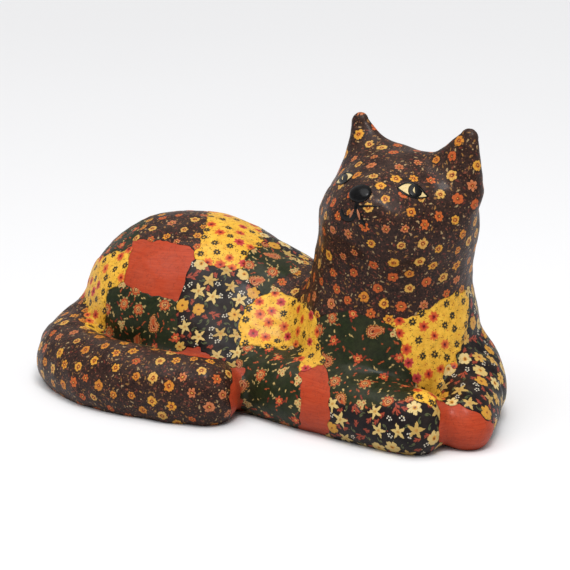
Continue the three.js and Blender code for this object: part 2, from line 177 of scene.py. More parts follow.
def form(p):
    """Signed distance, near enough, from points in mm to the cat's moulded surface."""
    distance = blend_all(p, BODY)
    distance = blended(distance, round_cone(p, NECK_FROM, NECK_TO, *NECK_RADII), NECK_BLEND)
    distance = blended(distance, head(p), HEAD_BLEND)
    for points, radii, steps, width in (TAIL, NEAR_LEG, FAR_LEG):
        distance = blended(distance, roll(p, points, radii, steps), width)
    return distance


def slope(distance, p, probe=0.1):
    along = [distance(p + d) - distance(p - d) for d in np.eye(3) * probe]
    g = np.stack(along, -1)
    return g / np.maximum(length(g), 1e-9)[..., None]


# ---- the moulded surface as a fine mesh ----
CELL = 1.5  # size of a facet, mm
FORM_LOW, FORM_HIGH = np.array((-156.0, -94.0, -9.0)), np.array((156.0, 94.0, 174.0))
FORM_FLOOR = -4.0  # the mesh closes here, under the surface that the cat lies on
COARSE = 4  # the rough grid's cells, in fine ones
CORNERS = np.array([[(n >> a) & 1 for a in range(3)] for n in range(8)])


def closed_form(p):
    return np.maximum(form(p), FORM_FLOOR - p[..., 2])


def sample(distance, lines):
    """The distance at every grid point: exact near the surface, from a coarser grid elsewhere."""
    rough_lines = [line[::COARSE] for line in lines]
    rough = distance(np.stack(np.meshgrid(*rough_lines, indexing="ij"), -1))
    nearest = []
    for line, rough_line in zip(lines, rough_lines):
        rough_cell = (np.arange(len(line)) + COARSE // 2) // COARSE
        nearest.append(np.minimum(rough_cell, len(rough_line) - 1))
    value = rough[np.ix_(*nearest)]
    near = np.argwhere(np.abs(value) < COARSE * (lines[0][1] - lines[0][0]))
    where = np.stack([line[near[:, a]] for a, line in enumerate(lines)], -1)
    value[tuple(near.T)] = distance(where)
    return value


STEPS = np.eye(3, dtype=int)


def crossing_sums(value, cells):
    """For each cell, the sum of the places where the surface crosses its edges, and their number."""
    total, number = np.zeros((len(cells), 3)), np.zeros(len(cells))
    for axis, step in enumerate(STEPS):
        for corner in CORNERS[CORNERS[:, axis] == 0]:
            start = cells + corner
            a, b = value[tuple(start.T)], value[tuple((start + step).T)]
            crossed = (a < 0) != (b < 0)
            along = np.where(crossed, a / np.where(crossed, a - b, 1), 0)
            total += (start + along[:, None] * step) * crossed[:, None]
            number += crossed
    return total, number


def net_quads(inside, index):
    """A quad for each grid edge that the surface crosses, through the points of the cells round it."""
    quads = []
    for axis, step in enumerate(STEPS):
        u, v = STEPS[(axis + 1) % 3], STEPS[(axis + 2) % 3]
        reach = [slice(0 if a == axis else 1, n - 1) for a, n in enumerate(inside.shape)]
        moved = [slice(r.start + step[a], r.stop + step[a]) for a, r in enumerate(reach)]
        edges = np.argwhere(inside[tuple(reach)] != inside[tuple(moved)]) + [r.start for r in reach]
        ring = np.stack([index[tuple((edges + d).T)] for d in (-u - v, -v, 0 * u, -u)], -1)
        keep = inside[tuple(edges.T)]
        quads += [ring[keep], ring[~keep][:, ::-1]]
    return np.concatenate(quads)


def wrap(distance, low, high, cell):
    """Points and quads round a form: a point in each grid cell that it crosses, a quad round each edge."""
    lines = [np.arange(a, b + cell, cell, dtype=np.float32) for a, b in zip(low, high)]
    value = sample(distance, lines)
    inside = value < 0
    ends = np.array(inside.shape) - 1
    count = sum(inside[i:ends[0] + i, j:ends[1] + j, k:ends[2] + k].astype(np.int8) for i, j, k in CORNERS)
    cut = (count > 0) & (count < 8)
    cells = np.argwhere(cut)
    index = np.full(cut.shape, -1)
    index[cut] = np.arange(len(cells))
    total, number = crossing_sums(value, cells)
    return low + cell * total / number[:, None], net_quads(inside, index)


def settle(distance, points, rounds=2):
    for _ in range(rounds):
        points = points - slope(distance, points) * distance(points)[:, None]
    return points


def to_triangles(points, quads):
    """Two triangles for each quad, cut along its shorter diagonal."""
    a, b, c, d = quads.T
    short = (length(points[a] - points[c]) < length(points[b] - points[d]))[:, None]
    first = np.where(short, np.stack([a, b, c], -1), np.stack([a, b, d], -1))
    second = np.where(short, np.stack([a, c, d], -1), np.stack([b, c, d], -1))
    return np.concatenate([first, second])


# ---- working on triangle meshes ----
CUT_MARGIN = 0.04  # a cut stays this share of an edge away from its ends


def odd_corner_first(faces, odd):
    return np.take_along_axis(faces, (odd.argmax(1)[:, None] + np.arange(3)) % 3, 1)


def clip(faces, level, *values):
    """Keeps the part of a triangle mesh where level is above 0. Each of values has a row to a point."""
    inside = (level > 0)[faces]
    count = inside.sum(1)
    one = odd_corner_first(faces[count == 1], inside[count == 1])
    two = odd_corner_first(faces[count == 2], ~inside[count == 2])
    edges = np.concatenate([one[:, [0, 1]], one[:, [0, 2]], two[:, [0, 1]], two[:, [0, 2]]])
    pairs, back = np.unique(np.sort(edges, 1), axis=0, return_inverse=True)
    start, end = level[pairs[:, 0]], level[pairs[:, 1]]
    along = np.clip(start / np.where(start == end, 1, start - end), CUT_MARGIN, 1 - CUT_MARGIN)
    cut = back.reshape(-1) + len(level)
    i, j, k, m = np.split(cut, np.cumsum([len(one), len(one), len(two)]))
    made = np.concatenate([
        faces[count == 3],
        np.stack([one[:, 0], i, j], -1),
        np.stack([k, two[:, 1], two[:, 2]], -1),
        np.stack([k, two[:, 2], m], -1),
    ])
    used, made = np.unique(made, return_inverse=True)
    made = made.reshape(-1, 3)
    result = []
    for value in (level,) + values:
        share = along.reshape((-1,) + (1,) * (value.ndim - 1))
        added = value[pairs[:, 0]] * (1 - share) + value[pairs[:, 1]] * share
        result.append(np.concatenate([value, added])[used])
    return [made] + result


def edges_of(faces):
    return np.concatenate([faces[:, pair] for pair in ((0, 1), (1, 2), (2, 0))])


def rim_of(faces):
    """The directed edges that only one triangle has."""
    edges = edges_of(faces)
    size = faces.max() + 1
    forward, backward = edges[:, 0] * size + edges[:, 1], edges[:, 1] * size + edges[:, 0]
    return edges[~np.isin(forward, backward)]


def thicken(faces, points, normals, outer, inner):
    """A closed skin: the sheet moved out by outer and by inner mm, and walls between along its rim."""
    count = len(points)
    rim = rim_of(faces)
    top = points + normals * np.reshape(outer, (-1, 1))
    bottom = points + normals * np.reshape(inner, (-1, 1))
    a, b = rim.T
    walls = np.concatenate([np.stack([b, a, a + count], -1), np.stack([b, a + count, b + count], -1)])
    return np.concatenate([top, bottom]), np.concatenate([faces, faces[:, ::-1] + count, walls])


def largest_island(faces, count):
    """A mask of the triangles, or edges, in the largest joined-up part of a mesh."""
    label = np.arange(count)
    while True:
        lowest = label[faces].min(1)
        fresh = label.copy()
        for corner in range(faces.shape[1]):
            np.minimum.at(fresh, faces[:, corner], lowest)
        fresh = fresh[fresh]
        if (fresh == label).all():
            break
        label = fresh
    names, size = np.unique(label[faces[:, 0]], return_counts=True)
    return label[faces[:, 0]] == names[size.argmax()]


def make_mesh(name, points, faces, material):
    mesh = bpy.data.meshes.new(name)
    mesh.from_pydata((np.asarray(points) * MM).tolist(), [], np.asarray(faces).tolist())
    mesh.update()
    mesh.polygons.foreach_set("use_smooth", [True] * len(mesh.polygons))
    mesh.materials.append(material)
    piece = bpy.data.objects.new(name, mesh)
    bpy.context.collection.objects.link(piece)
    return piece


def add_numbers(piece, name, values, domain="POINT"):
    """A named number or vector on each point or face corner, for the piece's material to read."""
    values = np.asarray(values, np.float32)
    kind, field = ("FLOAT", "value") if values.ndim == 1 else ("FLOAT_VECTOR", "vector")
    piece.data.attributes.new(name, kind, domain).data.foreach_set(field, values.ravel())


# ---- building shader networks ----
def operator(operation):
    return lambda self, *others: self.op(operation, *others)


class Num:
    """A number in a shader, so that a pattern can be written as a sum."""

    __add__, __sub__ = operator("ADD"), operator("SUBTRACT")
    __mul__, __truediv__ = operator("MULTIPLY"), operator("DIVIDE")
    __abs__, __pow__ = operator("ABSOLUTE"), operator("POWER")
    above, below = operator("GREATER_THAN"), operator("LESS_THAN")
    lower, higher = operator("MINIMUM"), operator("MAXIMUM")

    def __init__(self, tree, out):
        self.tree, self.out = tree, out

    def op(self, operation, *others, clamp=False):
        node = self.tree.nodes.new("ShaderNodeMath")
        node.operation, node.use_clamp = operation, clamp
        for slot, value in enumerate((self,) + others):
            if isinstance(value, Num):
                self.tree.links.new(value.out, node.inputs[slot])
            else:
                node.inputs[slot].default_value = value
        return Num(self.tree, node.outputs[0])

    def between(self, low, high):
        """0 at low and below, 1 at high and above."""
        return ((self - low) / (high - low)).op("ADD", 0.0, clamp=True)

    def shuffled(self, factor):
        """Another random number from 0 to 1, from this one."""
        return (self * factor).op("FRACT")


def root_of_squares(a, b):
    return (a * a + b * b).op("SQRT")


class Shader:
    """A material under construction."""

    def __init__(self, name):
        self.material = bpy.data.materials.new(name)
        self.material.use_nodes = True
        self.tree = self.material.node_tree
        self.surface = self.tree.nodes["Principled BSDF"]

    def node(self, kind, **inputs):
        """A new node, with constants in the inputs that are named."""
        node = self.tree.nodes.new("ShaderNode" + kind)
        for name, value in inputs.items():
            node.inputs[name].default_value = value
        return node

    def link(self, out, into):
        self.tree.links.new(out, into)

    def number(self, out):
        return Num(self.tree, out)

    def split(self, out):
        node = self.node("SeparateXYZ")
        self.link(out, node.inputs[0])
        return [self.number(node.outputs[i]) for i in range(3)]

    def attribute(self, name):
        node = self.node("Attribute")
        node.attribute_name = name
        return node

    def value_of(self, name):
        return self.number(self.attribute(name).outputs["Fac"])

    def place(self):
        """Object coordinates, in mm."""
        if not hasattr(self, "_place"):
            where, scale = self.node("TexCoord"), self.node("VectorMath")
            scale.operation = "SCALE"
            scale.inputs["Scale"].default_value = 1 / MM
            self.link(where.outputs["Object"], scale.inputs[0])
            self._place = scale.outputs[0]
        return self._place

    def facing(self):
        """Which way the surface faces."""
        return self.node("NewGeometry").outputs["Normal"]

    def noise(self, size, detail=2.0, roughness=0.5):
        """Noise from 0 to 1 whose lumps are about size mm."""
        node = self.node("TexNoise", Scale=1 / size, Detail=detail, Roughness=roughness)
        self.link(self.place(), node.inputs["Vector"])
        return self.number(node.outputs["Fac"])

    def mix(self, share, below, above):
        """Colours below and above, a socket or an RGB each, mixed by share."""
        node = self.node("Mix")
        node.data_type = "RGBA"
        self.link(share.out, node.inputs[0])
        for socket, colour in ((node.inputs[6], below), (node.inputs[7], above)):
            if isinstance(colour, tuple):
                socket.default_value = colour + (1.0,)
            else:
                self.link(colour, socket)
        return node.outputs[2]

    def pick(self, chance, colours):
        """One of several colours, by a random number from 0 to 1."""
        node = self.node("ValToRGB")
        ramp = node.color_ramp
        ramp.interpolation = "CONSTANT"
        while len(ramp.elements) < len(colours):
            ramp.elements.new(0.5)
        for i, colour in enumerate(colours):
            ramp.elements[i].position = i / len(colours)
            ramp.elements[i].color = colour + (1.0,)
        self.link(chance.out, node.inputs[0])
        return node.outputs[0]

    def bump(self, height, strength, distance_mm):
        node = self.node("Bump", Strength=strength, Distance=distance_mm * MM)
        self.link(height.out, node.inputs["Height"])
        self.link(node.outputs[0], self.surface.inputs["Normal"])

    def set(self, socket, value):
        if isinstance(value, Num):
            self.link(value.out, self.surface.inputs[socket])
        elif hasattr(value, "links"):
            self.link(value, self.surface.inputs[socket])
        else:
            self.surface.inputs[socket].default_value = value


def linear(value):
    share = value / 255
    return share / 12.92 if share <= 0.04045 else ((share + 0.055) / 1.055) ** 2.4


def rgb(red, green, blue):
    """A colour from its sRGB screen values, 0 to 255."""
    return linear(red), linear(green), linear(blue)


# ---- the moulded cat, a little uneven by hand ----
BIG_DENT, BIG_DENT_SIZE = 0.45, 34.0
SMALL_DENT, SMALL_DENT_SIZE = 0.12, 9.0
CREASE_PROBE = 4.0  # how far out a crease's depth is felt, mm
NORMAL_PROBE = 0.5  # the step that evens out the normals, mm


def waves(p, size, seed, count=16):
    """Smooth noise from about -1 to 1, with lumps of about size mm."""
    random = np.random.default_rng(seed)
    direction = random.normal(size=(count, 3))
    rate = 2 * math.pi / size * random.uniform(0.6, 1.5, (count, 1))
    direction *= rate / length(direction)[:, None]
    phase = random.uniform(0, 2 * math.pi, count)
    return np.sin(p @ direction.T + phase).sum(-1) / math.sqrt(count)


def dents(p):
    return BIG_DENT * waves(p, BIG_DENT_SIZE, 1) + SMALL_DENT * waves(p, SMALL_DENT_SIZE, 2)


class Surface:
    """A triangle mesh of the cat's outside: points, normals and how deep in a crease each point is."""

    def __init__(self, cell):
        rough, quads = wrap(closed_form, FORM_LOW, FORM_HIGH, cell)
        smooth = settle(closed_form, rough)
        self.normals = slope(form, smooth, NORMAL_PROBE)
        self.faces = to_triangles(smooth, quads)
        self.crease = np.clip(1 - form(smooth + CREASE_PROBE * self.normals) / CREASE_PROBE, 0, 1)
        self.points = smooth + self.normals * dents(smooth)[:, None]


# ---- prints on the cloths ----
# For each cloth: its rank in the pile of patches, how far its edge bulges round a flower that it was cut
# round, the spacing of its large motifs, their radius, and the spacing and clearance of the small ones.
CLOTHS = {
    "orange": dict(rank=0, bulge=0.0, spacing=None, radius=0, small_spacing=None, clear=0),
    "green": dict(rank=1, bulge=0.5, spacing=12.0, radius=3.6, small_spacing=4.3, clear=5.0),
    "brown": dict(rank=2, bulge=0.5, spacing=9.3, radius=3.2, small_spacing=3.0, clear=3.6),
    "black": dict(rank=3, bulge=0.9, spacing=9.3, radius=4.0, small_spacing=4.4, clear=4.5),
    "yellow": dict(rank=4, bulge=1.0, spacing=6.9, radius=3.0, small_spacing=3.3, clear=3.1),
}
REACH = 12.0  # a patch's edge is looked for within this, mm
TURN_WEIGHT = 90.0  # keeps a motif on its own side of a thin ear, mm squared
NEARLY_UPRIGHT = 0.8  # a normal that points up more than this takes its frame from x, not from z
EDGE_MARGIN = 0.6  # cloth left round a motif when cutting, mm
DECKLE, DECKLE_SIZE = 0.35, 7.0  # waviness of every cut edge, mm
UNDERLAP = 1.2  # how far a patch goes on under one that lies over it, mm
CLOTH_FOOT = 0.5  # height of the cloth's bottom edge, mm
STRAY_LEVEL = 0.5  # how far a patch goes past the strays that it takes in, mm
EDGE_SEED, PRINT_SEED = 100, 500
CHUNK = 4000  # points or faces measured at a time, to spare memory


def cloth_of(name):
    return next(word for word in name.split("_") if word in CLOTHS)


def node_distance(name, points):
    """Distance in mm from each point to a CAD node, up to REACH."""
    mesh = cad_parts[name].data
    corners = [v.co / MM for v in mesh.vertices]
    tree = BVHTree.FromPolygons(corners, [tuple(p.vertices) for p in mesh.polygons])
    low, high = (np.array(c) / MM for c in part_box(name))
    near = np.flatnonzero(((points > low - REACH) & (points < high + REACH)).all(1))
    distance = np.full(len(points), REACH)
    found = (tree.find_nearest(Vector(points[i]), REACH)[3] for i in near)
    distance[near] = [REACH if d is None else d for d in found]
    return distance


def scatter(points, allowed, spacing, random):
    """Indices of points no closer together than spacing."""
    left = np.flatnonzero(allowed)
    random.shuffle(left)
    chosen = []
    while len(left):
        chosen.append(left[0])
        left = left[length(points[left] - points[left[0]]) > spacing]
    return np.array(chosen, int)


def nearest_distance(points, centres):
    parts = (points[i:i + CHUNK, None] - centres[None] for i in range(0, len(points), CHUNK))
    return np.concatenate([length(gap).min(1) for gap in parts])


class Motifs:
    """Motif centres over one patch, each with its own tangent frame and a random number."""

    def __init__(self, surface, chosen, random):
        self.centres, self.normals = surface.points[chosen], surface.normals[chosen]
        spin = random.uniform(0, 2 * math.pi, len(chosen))
        helper = np.where(np.abs(self.normals[:, 2:]) < NEARLY_UPRIGHT, (0.0, 0.0, 1.0), (1.0, 0.0, 0.0))
        first = np.cross(helper, self.normals)
        first /= length(first)[:, None]
        second = np.cross(self.normals, first)
        self.across = first * np.cos(spin)[:, None] + second * np.sin(spin)[:, None]
        self.up = np.cross(self.normals, self.across)
        self.chance = random.uniform(0, 1, len(chosen))

    def corner_values(self, faces, points, normals):
        """For each face corner: its place in the frame of the nearest motif, and that motif's number."""
        middle, facing = points[faces].mean(1), normals[faces].mean(1)
        nearest = np.empty(len(faces), int)
        for start in range(0, len(faces), CHUNK):
            part = slice(start, start + CHUNK)
            gap = middle[part, None] - self.centres[None]
            turned = 1 - facing[part] @ self.normals.T
            nearest[part] = ((gap * gap).sum(-1) + TURN_WEIGHT * turned).argmin(1)
        offset = points[faces] - self.centres[nearest][:, None]
        u = (offset * self.across[nearest][:, None]).sum(-1)
        v = (offset * self.up[nearest][:, None]).sum(-1)
        chance = np.repeat(self.chance[nearest][:, None], 3, 1)
        return np.stack([u, v, chance], -1).reshape(-1, 3)


class Patch:
    """Where one patch is on the surface: reach is above 0 inside its edge, in mm."""

    def __init__(self, name, reach, seed):
        self.name, self.reach, self.cloth = name, reach, cloth_of(name)
        self.style, self.random = CLOTHS[self.cloth], np.random.default_rng(seed)
        self.large = self.small = None

    def print_motifs(self, surface, inside):
        """Strews the print's motifs, and lets the edge bulge round those that it was cut round."""
        style, points = self.style, surface.points
        inside = inside & (points[:, 2] > CLOTH_FOOT)
        if not style["spacing"] or not inside.any():
            return
        chosen = scatter(points, inside, style["spacing"], self.random)
        around = nearest_distance(points, points[chosen])
        between = scatter(points, inside & (around > style["clear"]), style["small_spacing"], self.random)
        self.large = Motifs(surface, chosen, self.random)
        self.small = Motifs(surface, between, self.random) if len(between) else self.large
        self.reach = self.reach + style["bulge"] * np.maximum(style["radius"] + EDGE_MARGIN - around, 0)


def take_in_strays(surface, reaches):
    """Gives the bits of a patch that lie apart from its main part to the patches round them."""
    edges = edges_of(surface.faces)
    owner = reaches.argmax(0)
    settled = np.zeros(len(owner), bool)
    for i in range(len(reaches)):
        own = edges[(owner[edges] == i).all(1)]
        settled[own[largest_island(own, len(owner))]] = True
    strays = np.flatnonzero(~settled)
    while True:
        front = edges[settled[edges[:, 0]] & ~settled[edges[:, 1]]]
        if not len(front):
            break
        owner[front[:, 1]] = owner[front[:, 0]]
        settled[front[:, 1]] = True
    reaches[owner[strays], strays] = reaches[:, strays].max(0) + STRAY_LEVEL


def lay_out_patches(surface):
    names = sorted(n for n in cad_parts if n.startswith("patch_"))
    patches = []
    for i, name in enumerate(names):
        wavy_edge = DECKLE * waves(surface.points, DECKLE_SIZE, EDGE_SEED + i)
        patches.append(Patch(name, wavy_edge - node_distance(name, surface.points), PRINT_SEED + i))
    nearest = np.argmax([patch.reach for patch in patches], 0)
    for i, patch in enumerate(patches):
        patch.print_motifs(surface, nearest == i)
    reaches = np.stack([patch.reach for patch in patches])
    take_in_strays(surface, reaches)
    ranks = np.array([patch.style["rank"] for patch in patches])
    for i, patch in enumerate(patches):
        rivals = reaches.copy()
        rivals[i] = -np.inf
        covered = ranks[rivals.argmax(0)] > ranks[i]
        patch.level = reaches[i] - rivals.max(0) + np.where(covered, UNDERLAP, 0)
    return patches


# ---- shapes that the prints are made of ----
FAR = 99.0
PRINT_WOBBLE, STEADY_PRINT = 2.0, 0.8  # how far a print's outlines stray, at the noise's full swing, mm


class Spot:
    """A point's place on the nearest motif, in mm, and that motif's random number."""

    def __init__(self, shader, name, wobble=PRINT_WOBBLE):
        self.u, self.v, self.chance = shader.split(shader.attribute(name).outputs["Vector"])
        self.u = self.u + (shader.noise(1.5, 2.0) - 0.5) * wobble
        self.v = self.v + (shader.noise(1.7, 2.0, 0.6) - 0.5) * wobble
        self.measure()

    def measure(self):
        self.r = root_of_squares(self.u, self.v)
        self.angle = self.v.op("ARCTAN2", self.u)

    def moved(self, across, up):
        """The same spot seen from another centre."""
        other = object.__new__(Spot)
        other.u, other.v, other.chance = self.u - across, self.v - up, self.chance
        other.measure()
        return other

    def disc(self, radius):
        """Depth inside a disc."""
        return self.r * -1.0 + radius

    def petals(self, count, radius, notch=0.55, turn=0.0):
        """Depth inside a flower of round petals."""
        lobe = abs((self.angle * (count / 2) + turn).op("COSINE")) ** 0.6
        return (lobe * notch + (1 - notch)) * radius - self.r

    def star(self, count, radius, waist=0.42):
        """Depth inside a star."""
        fold = abs((self.angle * (count / (2 * math.pi)) + 0.5).op("FRACT") - 0.5) * 2
        return (fold ** 1.5 * (1 - waist) + waist) * radius - self.r

    def leaf(self, long, wide):
        """Depth, near enough, inside a leaf along u."""
        across = self.v * (long / wide)
        return (root_of_squares(self.u, across) * -1.0 + long) * (wide / long)

    def drop(self, radius, point=0.95):
        """Depth inside a teardrop with a bent tip, as in a paisley print."""
        bent = (self.u * self.u * 0.05 + self.v).op("ARCTAN2", self.u)
        tip = bent.op("COSINE").higher(0.0) ** 9.0
        return (tip * point + 1.0) * radius - self.r

    def arc(self, long, bend, width):
        """Depth inside a bent stroke along u."""
        stroke = abs(self.u * self.u * bend - self.v) * -1.0 + width / 2
        return stroke.lower(abs(self.u) * -1.0 + long / 2)


def twig(spot, size):
    """Depth inside a branching twig."""
    stem = spot.arc(size * 1.8, 0.03, 0.7)
    for along, side in ((-0.35, 1), (0.1, -1), (0.45, 1)):
        tip = spot.moved(along * size, side * size * 0.33)
        slant = tip.u * 0.5 * side - tip.v * 0.86
        run = tip.u * 0.86 + tip.v * 0.5 * side
        branch = (root_of_squares(run, slant * 2.8) * -1.0 + size * 0.42) * 0.36
        stem = stem.higher(branch)
    return stem


def dots(spot, places, radius):
    """Depth inside the nearest of several dots."""
    deepest, *others = [spot.moved(x, y).disc(radius) for x, y in places]
    for depth in others:
        deepest = deepest.higher(depth)
    return deepest


class Print:
    """A printed cloth's colours, laid one over another."""

    def __init__(self, shader, dark, light, mottle=2.6):
        self.shader = shader
        self.colour = shader.mix(shader.noise(mottle, 4.0, 0.7).between(0.3, 0.7), dark, light)

    def lay(self, depth, colour, when=None, blur=0.2):
        """Prints a shape whose depth, in mm, is above 0 inside it, with a soft edge."""
        mask = depth.between(-blur, blur)
        if when is not None:
            mask = mask * when
        self.colour = self.shader.mix(mask, self.colour, colour)

    def discs(self, spot, steps, when=None):
        """Discs one on another: the radius and colour of each, and the blur of some."""
        for radius, colour, *blur in steps:
            self.lay(spot.disc(radius), colour, when, *blur)

    def speckle(self, size, radius, colours, share):
        """Tiny dots all over the ground, on a share of the cells of a random net."""
        node = self.shader.node("TexVoronoi", Scale=1 / size)
        self.shader.link(self.shader.place(), node.inputs["Vector"])
        chance = self.shader.split(node.outputs["Color"])[0]
        depth = (self.shader.number(node.outputs["Distance"]) * -1.0 + radius / size) * size
        self.lay(depth, self.shader.pick(chance.shuffled(7.3), colours), chance.below(share), 0.15)


def only(depth, mask):
    """A depth where a mask is 1, and far outside where it is 0."""
    return (mask - 1.0) * FAR + depth


def within(chance, low, high):
    """1 where a random number is between low and high."""
    return chance.above(low) * chance.below(high)


# ---- the five cloths ----
def brown_print(shader):
    cloth = Print(shader, rgb(14, 7, 6), rgb(62, 37, 29), 1.6)
    specks = [rgb(150, 104, 52), rgb(122, 66, 46), rgb(172, 142, 100), rgb(16, 10, 9), rgb(104, 44, 32)]
    cloth.speckle(1.25, 0.34, [rgb(96, 60, 46), rgb(120, 80, 54), rgb(78, 42, 34), rgb(140, 96, 60)], 0.5)
    cloth.speckle(2.0, 0.42, specks, 0.7)
    small, big = Spot(shader, "small"), Spot(shader, "large")
    dash, some = small.leaf(0.95, 0.4), small.chance.shuffled(17).below(0.75)
    cloth.lay(dash, shader.pick(small.chance, specks), some)
    size = big.chance.shuffled(31) * 0.9 + 2.35
    flower = big.petals(6, size, 0.5).higher(only(big.petals(5, size, 0.52, 0.6), big.chance.above(0.4)))
    cloth.lay(flower + 0.35, rgb(20, 11, 10), blur=0.3)
    petal = shader.pick(big.chance, [
        rgb(222, 152, 46), rgb(204, 100, 40), rgb(196, 118, 74), rgb(224, 162, 56),
        rgb(206, 132, 42), rgb(196, 92, 40), rgb(218, 170, 82),
    ])
    cloth.lay(flower, shader.mix(shader.noise(0.9, 2.0).between(0.4, 0.65) * 0.45, petal, rgb(140, 66, 30)))
    cloth.discs(big, [(1.35, rgb(170, 78, 28), 0.4), (0.95, rgb(92, 30, 18)), (0.45, rgb(220, 160, 70))])
    return cloth.colour


def yellow_print(shader):
    cloth = Print(shader, rgb(214, 156, 42), rgb(242, 190, 66), 4.0)
    small, big = Spot(shader, "small"), Spot(shader, "large")
    marks = [rgb(44, 34, 18), rgb(60, 44, 20), rgb(176, 70, 28), rgb(50, 40, 20), rgb(140, 60, 24)]
    mark = shader.pick(small.chance, marks)
    squiggle = small.moved((small.v * 3.2).op("SINE") * 0.4, 0.0).arc(1.9, 0.5, 0.36)
    cloth.lay(squiggle, mark, small.chance.shuffled(13).below(0.55), 0.12)
    spots = dots(small, ((0.55, 0.2), (-0.6, 0.45), (0.0, -0.7)), 0.3)
    cloth.lay(spots, mark, small.chance.shuffled(13).above(0.55), 0.12)
    cloth.speckle(2.4, 0.26, marks, 0.45)
    red = big.chance.below(0.5)
    bloom = big.petals(7, big.chance.shuffled(23) * 0.7 + 2.8, 0.36)
    reds = [rgb(204, 84, 38), rgb(214, 104, 44), rgb(190, 62, 60)]
    cloth.lay(bloom, shader.pick(big.chance.shuffled(3.1), reds), red, 0.45)
    cloth.discs(big, [(1.3, rgb(160, 34, 26), 0.5), (0.55, rgb(60, 14, 16))], red)
    dark = big.chance.above(0.5)
    cloth.lay(big.petals(7, 2.35, 0.5), rgb(38, 36, 22), dark, 0.3)
    cloth.discs(big, [(0.5, rgb(204, 150, 44))], dark)
    return cloth.colour


GREEN, GREEN_CREAM = rgb(18, 26, 10), rgb(196, 164, 102)
GREEN_ORANGE, GREEN_RED = rgb(176, 78, 38), rgb(134, 40, 24)


def rosettes(cloth, spot, when):
    cloth.lay(spot.petals(8, 4.6, 0.75, 0.4), rgb(170, 140, 84), when)
    petals = spot.petals(9, 3.5, 0.4)
    cloth.lay(petals + 0.45, GREEN, when)
    cloth.lay(petals, GREEN_ORANGE, when)
    rings = [(1.95, rgb(216, 158, 86)), (1.6, GREEN_RED), (0.95, GREEN_CREAM), (0.5, rgb(90, 20, 16))]
    cloth.discs(spot, rings, when)


def paisleys(cloth, spot, when):
    drop = spot.drop(3.1, 1.25)
    beads = (spot.angle * 15.0).op("SINE").above(-0.3)
    cloth.lay(drop + 0.75, rgb(206, 138, 66), when * beads)
    bands = [(0.3, GREEN), (0.0, GREEN_ORANGE), (-0.55, GREEN_CREAM), (-0.85, rgb(166, 58, 30)),
             (-1.7, GREEN_CREAM), (-2.0, GREEN_ORANGE)]
    for growth, colour in bands:
        cloth.lay(drop + growth, colour, when)
    cloth.lay(spot.leaf(1.0, 0.5), rgb(46, 14, 12), when)


def bunches(cloth, spot, when):
    for across, up, turn in ((1.5, 0.8, 0.0), (-1.4, 1.1, 0.9), (0.1, -1.6, 0.4)):
        head = spot.moved(across, up)
        cloth.lay(head.petals(5, 1.7, 0.5, turn), GREEN_CREAM, when)
        cloth.discs(head, [(0.5, GREEN_ORANGE)], when)


def blooms(cloth, spot, when):
    cloth.lay(spot.petals(6, 2.9, 0.6), rgb(186, 74, 40), when)
    cloth.discs(spot, [(1.0, rgb(216, 160, 80)), (0.5, GREEN_RED)], when)


def green_print(shader):
    cloth = Print(shader, GREEN, rgb(38, 46, 20))
    small, big = Spot(shader, "small"), Spot(shader, "large")
    cream, orange, red = GREEN_CREAM, GREEN_ORANGE, GREEN_RED
    cloth.speckle(3.8, 0.34, [cream, orange, rgb(100, 92, 50)], 0.35)
    pair = small.moved(0.75, 0.4).leaf(0.9, 0.38).higher(small.moved(-0.8, -0.3).leaf(0.75, 0.36))
    lone = small.chance.shuffled(11)
    cloth.lay(pair, shader.pick(small.chance, [orange, cream, red, orange]), lone.below(0.5))
    cloth.lay(small.leaf(0.8, 0.42), cream, within(lone, 0.5, 0.7))
    cloth.discs(small, [(0.55, orange)], lone.above(0.85))
    rosettes(cloth, big, big.chance.below(0.3))
    paisleys(cloth, big, within(big.chance, 0.3, 0.5))
    bunches(cloth, big, within(big.chance, 0.5, 0.72))
    blooms(cloth, big, big.chance.above(0.72))
    leaves = [(3.4, -1.6, 1.3, 0.5, red), (-3.3, -1.8, 1.2, 0.5, orange), (-2.6, 3.0, 1.0, 0.45, cream)]
    for across, up, long, wide, colour in leaves:
        cloth.lay(big.moved(across, up).leaf(long, wide), colour, big.chance.above(0.5))
    return cloth.colour


